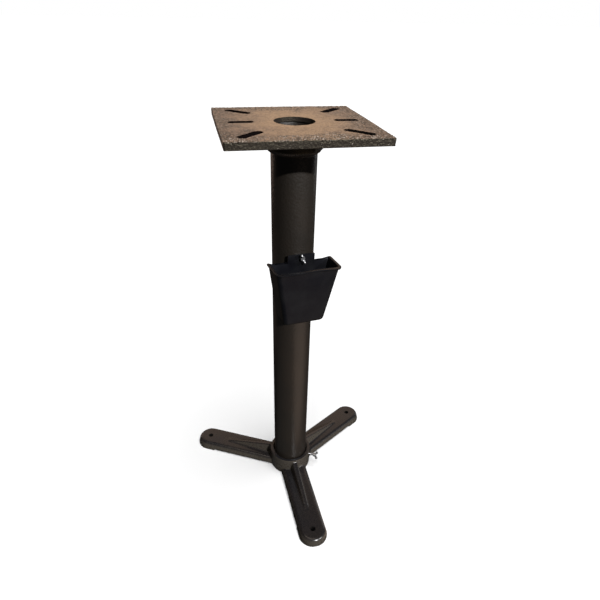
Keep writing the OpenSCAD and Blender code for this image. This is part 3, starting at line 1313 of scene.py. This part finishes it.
@dataclass
class WingScrew:
    """A threaded stud with a die-cast wing head."""

    name: str
    wing_turn: float
    stud_body: str
    head_body: str
    radius: float = 3 * MM
    pitch: float = 1 * MM
    thread_depth: float = 0.55 * MM
    boss_radius: float = 4.5 * MM
    boss_length: float = 7 * MM
    swing: float = 10 * MM
    tip_radius: float = 3.2 * MM
    rise: float = 4 * MM
    thickness: float = 2.6 * MM
    bore_depth: float = 5 * MM
    grain: float = 0.28 * MM

    def axis_frame(self) -> Matrix:
        """Frame with +Z outwards along the screw, at the boss's inner face."""
        return outward(f"{self.name}_screw_turn")

    def build_stud(self) -> bpy.types.Object:
        """Build the stud, with a real thread along it.

        Returns:
            The finished stud.
        """
        node = f"{self.name}_stud"
        here = self.axis_frame().inverted()
        ends = [here @ v.co for v in frame["nodes"][node].data.vertices]
        low, high = min(p.z for p in ends), max(p.z for p in ends)
        length = high - low
        stud = Workpiece.rod(f"{node}_thread", self.radius, length,
                             (0, 0, (low + high) / 2), sides=36)
        stud.slice_rod(length, int(length / self.pitch * 7))

        def thread(p: Vector) -> Vector:
            """Cut the thread's groove, and round off both ends.

            Args:
                p: A point of the rod.

            Returns:
                Its new place.
            """
            turn = math.atan2(p.y, p.x) / (2 * math.pi)
            phase = (p.z / self.pitch - turn) % 1.0
            groove = max(0.0, 1 - abs(2 * phase - 1) * 1.15)
            from_end = min(p.z - low, high - p.z)
            taper = max(0.0, 1 - from_end / (0.7 * self.pitch))
            depth = max(groove, taper) * self.thread_depth
            return p - Vector((p.x, p.y, 0)).normalized() * depth
        stud.sculpt(thread)
        stud.place(self.axis_frame())
        stud.shade(50)
        return stud.finish(self.stud_body, node, STUD_ZINC)

    def wing(self, side: int) -> list[Workpiece]:
        """Make the rough shape of one wing, with the screw's axis along +Z.

        Args:
            side: -1 or 1.

        Returns:
            The web and the tip.
        """
        tip_x = self.swing - self.tip_radius
        tip_z = self.boss_length + self.rise - self.tip_radius
        tip = Workpiece.rod("wing_tip", self.tip_radius, self.thickness, (0, 0, 0), 40)
        tip.place(Matrix.Translation((side * tip_x, 0, tip_z))
                  @ Matrix.Rotation(math.pi / 2, 4, "X"))
        root = Vector((self.radius, 0, self.boss_length * 0.68))
        run = Vector((tip_x, 0, tip_z)) - root
        web = Workpiece.block("wing_web", (self.boss_length * 0.55, self.thickness, run.length),
                              (0, 0, run.length / 2))
        lean = Matrix.Rotation(side * math.atan2(run.x, run.z), 4, "Y")
        web.place(Matrix.Translation((side * root.x, 0, root.z)) @ lean)
        return [tip, web]

    def build_head(self) -> bpy.types.Object:
        """Build the wing head as one smooth casting with a blind bore.

        Returns:
            The finished wing head.
        """
        node = f"{self.name}_wing"
        boss = Workpiece.rod(f"{node}_head", self.boss_radius, self.boss_length,
                             (0, 0, self.boss_length / 2), 48, tip=self.boss_radius * 0.9)
        boss.gather([piece for side in (-1, 1) for piece in self.wing(side)])
        boss.recast(self.grain, 5)
        boss.cut(Workpiece.rod("blind_tool", SCREW_HOLE, 2 * self.bore_depth, (0, 0, 0), 36))
        boss.place(self.axis_frame() @ Matrix.Rotation(self.wing_turn, 4, "Z"))
        boss.shade(45)
        return boss.finish(self.head_body, node, WING_SHADED_PLATING)


# ---- the water pot


@dataclass
class WaterPot:
    """The tapered pot that hangs by a tab from one screw."""

    tilt: float = math.radians(2.5)
    rim_width: float = 123 * MM
    side_lip: float = 3 * MM
    front_lip: float = 4.5 * MM
    mouth_depth: float = 48 * MM
    floor_width: float = 77 * MM
    floor_depth: float = 43 * MM
    height: float = 108 * MM
    wall: float = 2.2 * MM
    tab_width: float = 51 * MM
    tab_height: float = 10.5 * MM
    tab_hole_height: float = 5 * MM
    tab_offset: float = 3 * MM
    tab_hole_radius: float = 3.4 * MM
    bottom_rounding: float = 8 * MM
    tab_rounding: float = 1.5 * MM
    edge: float = 0.6 * MM
    bow: float = 3.2 * MM
    bow_at: float = 16 * MM
    bow_width: float = 24 * MM

    def hang(self) -> Matrix:
        """Find the frame of the pot: its back at y = 0, its floor at z = 0.

        Returns:
            The frame.
        """
        swing = joint("pot_swing")
        turn = Matrix.Rotation(facing(swing["axis"]) + math.pi / 2, 4, "Z")
        tilt = Matrix.Rotation(self.tilt, 4, "Y")
        drop = Matrix.Translation((-self.tab_offset, 0, -self.height - self.tab_hole_height))
        return Matrix.Translation(Vector(swing["pos_m"])) @ turn @ tilt @ drop

    def shell(self) -> Workpiece:
        """Make the pot's wall, floor and lip.

        Returns:
            The pot without its tab.
        """
        top = self.height - self.wall
        share = top / self.height
        mouth_w = self.rim_width - 2 * self.side_lip
        width = self.floor_width + (mouth_w - self.floor_width) * share
        depth = self.floor_depth + (self.mouth_depth - self.floor_depth) * share
        pot = Workpiece.block("water_pot_moulded", (1, 1, 1), (0, -0.5, 0.5))

        def taper(p: Vector) -> Vector:
            """Put a corner of the block at its place on the pot.

            Args:
                p: The corner.

            Returns:
                Its new place.
            """
            high = p.z > 0.5
            half = (width if high else self.floor_width) / 2
            reach = depth if high else self.floor_depth
            return Vector((math.copysign(half, p.x), -reach if p.y < -0.5 else 0.0,
                           top if high else 0.0))
        pot.sculpt(taper)
        pot.edit(bpy.ops.mesh.delete, Part.FACES, lambda at, normal: at.z > top - TINY,
                 type="ONLY_FACE")
        mesh = pot.obj.data
        weights = mesh.attributes.new("bevel_weight_edge", "FLOAT", "EDGE")
        for edge in mesh.edges:
            at = sum((mesh.vertices[i].co for i in edge.vertices), Vector()) / 2
            if at.z <= top - TINY:
                weights.data[edge.index].value = 1.0 if at.z < TINY or at.y < -10 * MM else 0.3
        pot.modify("BEVEL", width=self.bottom_rounding, segments=8, limit_method="WEIGHT",
                   use_clamp_overlap=True)
        cuts = [(Vector((i * 9 * MM, 0, 0)), (1, 0, 0)) for i in range(-5, 6)]
        cuts += [(Vector((0, 0, i * 13 * MM)), (0, 0, 1)) for i in range(1, 8)]
        for place, across in cuts:
            pot.edit(bpy.ops.mesh.bisect, Part.FACES, plane_co=place, plane_no=across)
        self.draw_lip(pot, top)
        pot.modify("SOLIDIFY", thickness=self.wall, offset=-1.0, use_even_offset=True)
        return pot

    def draw_lip(self, pot: Workpiece, top: float) -> None:
        """Draw the rim out into a lip at the sides and the front.

        Args:
            pot: The open wall.
            top: Height of the rim.
        """
        pot.pick(Part.EDGES, lambda at, run: at.z > top - TINY)
        bpy.ops.mesh.extrude_region_move(TRANSFORM_OT_translate={"value": (0, 0, 0)})
        mesh = bmesh.from_edit_mesh(pot.obj.data)
        half = max(v.co.x for v in mesh.verts)
        front = min(v.co.y for v in mesh.verts)
        for vert in (v for v in mesh.verts if v.select):
            out_x = vert.co.x / half
            out_y = vert.co.y / front
            if abs(out_x) > 0.9:
                vert.co.x += math.copysign(self.side_lip, vert.co.x) * (abs(out_x) - 0.9) / 0.1
            if out_y > 0.7:
                vert.co.y -= self.front_lip * (out_y - 0.7) / 0.3
        bmesh.update_edit_mesh(pot.obj.data)
        deselect()

    def build(self) -> bpy.types.Object:
        """Build the pot, with its tab and the warp of its front rim.

        Returns:
            The finished pot.
        """
        pot = self.shell()
        tab = Workpiece.block("tab", (self.tab_width, self.wall, self.tab_height + 2 * self.wall),
                              (self.tab_offset, -self.wall / 2,
                               self.height + self.tab_height / 2 - self.wall))
        tab.edit(bpy.ops.mesh.bevel, Part.EDGES,
                 lambda at, run: abs(run.y) > 0.9 * self.wall and at.z > self.height,
                 offset=self.tab_rounding, segments=4, affect="EDGES")
        pot.fuse(tab)
        hole = Workpiece.rod("tab_hole_tool", self.tab_hole_radius, 6 * self.wall, (0, 0, 0), 40)
        hole.place(Matrix.Translation((self.tab_offset, 0, self.height + self.tab_hole_height))
                   @ Matrix.Rotation(math.pi / 2, 4, "X"))
        pot.cut(hole)
        pot.ease(self.edge, 3, 40)

        def warp(p: Vector) -> Vector:
            """Let the front rim bow in and up a little, to the right of the middle.

            Args:
                p: A point of the pot.

            Returns:
                Its new place.
            """
            near_front = max(0.0, min(1.0, (-p.y / self.mouth_depth - 0.5) / 0.5))
            near_rim = max(0.0, min(1.0, p.z / self.height * 2 - 1)) ** 2
            swell = math.exp(-(((p.x - self.bow_at) / self.bow_width) ** 2))
            push = self.bow * near_front * near_rim * swell
            return p + Vector((0, push, 0.25 * push if p.z < self.height else 0))
        pot.sculpt(warp)
        pot.place(self.hang())
        pot.shade(40)
        return pot.finish("pot", "water_pot", POT_PLASTIC)


# ---- the studio


class Reach(Enum):
    """What a lamp lights."""

    STAND = "EXCLUDE"
    FLOOR = "INCLUDE"


def add_object(name: str, data: bpy.types.ID) -> bpy.types.Object:
    """Add a lamp or a camera to the scene.

    Args:
        name: Its name.
        data: Its settings.

    Returns:
        The object.
    """
    thing = bpy.data.objects.new(name, data)
    bpy.context.scene.collection.objects.link(thing)
    return thing


def limit_light(lamp: bpy.types.Object, reach: Reach, floor: bpy.types.Object) -> None:
    """Let a lamp light the stand or the floor alone.

    Args:
        lamp: The lamp.
        reach: What it lights.
        floor: The floor.
    """
    only = bpy.data.collections.new(f"{lamp.name}_lights")
    only.objects.link(floor)
    only.collection_objects[0].light_linking.link_state = reach.value
    lamp.light_linking.receiver_collection = only


@dataclass(frozen=True)
class Lamp:
    """A soft lamp, placed by the direction that it shines from."""

    name: str
    azimuth: float
    elevation: float
    distance: float
    size: tuple[float, float]
    power: float
    aim: Triple = (0.0, 0.0, 0.4)
    colour: Triple = (1.0, 1.0, 1.0)

    @property
    def place(self) -> Vector:
        """Where the lamp stands.

        Returns:
            Its place.
        """
        turn, rise = math.radians(self.azimuth), math.radians(self.elevation)
        level = math.cos(rise)
        way = Vector((math.cos(turn) * level, math.sin(turn) * level, math.sin(rise)))
        return Vector(self.aim) + way * self.distance

    def build(self, floor: bpy.types.Object) -> None:
        """Add the lamp to the scene.

        Args:
            floor: The floor, which the lamp doesn't light.
        """
        data = bpy.data.lights.new(self.name, "AREA")
        data.shape = "RECTANGLE"
        data.size, data.size_y = self.size
        data.energy = self.power
        data.color = self.colour
        lamp = add_object(self.name, data)
        lamp.location = self.place
        lamp.rotation_mode = "QUATERNION"
        lamp.rotation_quaternion = (Vector(self.aim) - self.place).to_track_quat("-Z", "Y")
        lamp.visible_camera = False
        limit_light(lamp, Reach.STAND, floor)


@dataclass
class Studio:
    """Pale floor, soft lamps and the camera."""

    eye: Triple = (-0.16115, -0.77, 0.9364)
    yaw: float = 0.234
    pitch: float = 0.641
    roll: float = 0.030
    lens: float = 27.97
    shift: tuple[float, float] = (-0.00297, 0.0814)
    floor_size: float = 60.0
    ambient: float = 0.018
    paper_power: float = 4.4
    lamps: tuple[Lamp, ...] = (
        Lamp("key", -74, 34, 8.0, (0.15, 0.15), 800.0),
        Lamp("side_key", -42, 26.2, 8.0, (0.4, 0.15), 290.0),
        Lamp("wall", 78, 22, 2.4, (3.0, 1.9), 17.0, (0.0, 0.0, 0.6), (1.0, 0.73, 0.55)),
        Lamp("top", -150, 76, 1.6, (1.2, 1.2), 9.0, (0.0, 0.0, 0.79), (1.0, 0.84, 0.68)),
        Lamp("left", 125, 10, 2.4, (0.5, 1.6), 5.0, colour=(1.0, 0.72, 0.58)),
        Lamp("right", 30, 10, 2.4, (0.5, 1.6), 3.5),
        Lamp("bounce_right", 0, -90, 0.498, (0.8, 0.8), 1.05, (0.44, -0.50, 0.5),
             (1.0, 0.75, 0.60)),
        Lamp("bounce_left", 0, -90, 0.498, (0.8, 0.8), 0.10, (-0.44, -0.30, 0.5)),
        Lamp("bounce_back", 0, -90, 0.498, (0.9, 0.9), 0.20, (-0.80, 0.70, 0.5), (1.0, 0.75, 0.60)),
    )

    def build_camera(self) -> None:
        """Add the camera, looking down at the stand from its front left."""
        data = bpy.data.cameras.new("camera")
        data.lens = self.lens
        data.sensor_width = 36.0
        data.shift_x, data.shift_y = self.shift
        camera = add_object("camera", data)
        turn = (Matrix.Rotation(-self.yaw, 4, "Z")
                @ Matrix.Rotation(math.pi / 2 - self.pitch, 4, "X")
                @ Matrix.Rotation(self.roll, 4, "Z"))
        camera.matrix_world = Matrix.Translation(Vector(self.eye)) @ turn
        bpy.context.scene.camera = camera

    def build_floor(self) -> bpy.types.Object:
        """Add the pale floor, which the stand's own paint doesn't mirror.

        Returns:
            The floor.
        """
        deselect()
        bpy.ops.mesh.primitive_plane_add(size=self.floor_size, location=(0, 0, 0))
        floor = bpy.context.object
        floor.name = "floor"
        sheet = Sheet("floor_paper")
        tones = ((0.86, 0.86, 0.86), (0.90, 0.90, 0.90))
        sheet.feed("Base Color", sheet.blend(sheet.grain(3.0), *tones))
        sheet.set("Roughness", 0.9)
        floor.data.materials.append(sheet.material)
        floor.visible_diffuse = False
        floor.visible_glossy = False
        return floor

    def build_world(self) -> None:
        """Surround the stand with white to look at, and with a dim even light."""
        world = bpy.data.worlds.new("studio")
        world.use_nodes = True
        nodes, links = world.node_tree.nodes, world.node_tree.links
        sky = next(n for n in nodes if n.type == "BACKGROUND")
        sky.inputs["Color"].default_value = (1.0, 1.0, 1.0, 1.0)
        seen = nodes.new("ShaderNodeLightPath").outputs["Is Camera Ray"]
        level = nodes.new("ShaderNodeMapRange")
        level.inputs["To Min"].default_value = self.ambient
        links.new(seen, level.inputs["Value"])
        links.new(level.outputs["Result"], sky.inputs["Strength"])
        bpy.context.scene.world = world

    def build_paper_light(self, floor: bpy.types.Object) -> None:
        """Light the floor by itself, so that it stays white to the horizon.

        Args:
            floor: The floor.
        """
        data = bpy.data.lights.new("paper_light", "SUN")
        data.energy = self.paper_power
        data.angle = math.radians(50)
        lamp = add_object("paper_light", data)
        lamp.rotation_euler = (math.radians(12), math.radians(8), 0)
        limit_light(lamp, Reach.FLOOR, floor)

    def build(self) -> None:
        """Build the whole studio."""
        bpy.context.scene.view_settings.view_transform = "Standard"
        self.build_camera()
        floor = self.build_floor()
        self.build_world()
        self.build_paper_light(floor)
        for lamp in self.lamps:
            lamp.build(floor)


# ---- the stand


def main() -> None:
    """Build the studio and every piece of the stand."""
    logging.basicConfig(level=logging.INFO, format="%(name)s: %(message)s")
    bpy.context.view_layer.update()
    Studio().build()
    TopPlate().build()
    column = Column()
    column.build_tube()
    column.build_weld()
    TripodBase().build()
    for screw in (WingScrew("clamp", math.radians(155), "clamp_screw", "clamp_screw_head"),
                  WingScrew("pot", math.radians(22), "pot_screw", "pot_screw_head")):
        screw.build_stud()
        screw.build_head()
    WaterPot().build()


if __name__ == "__main__":
    main()
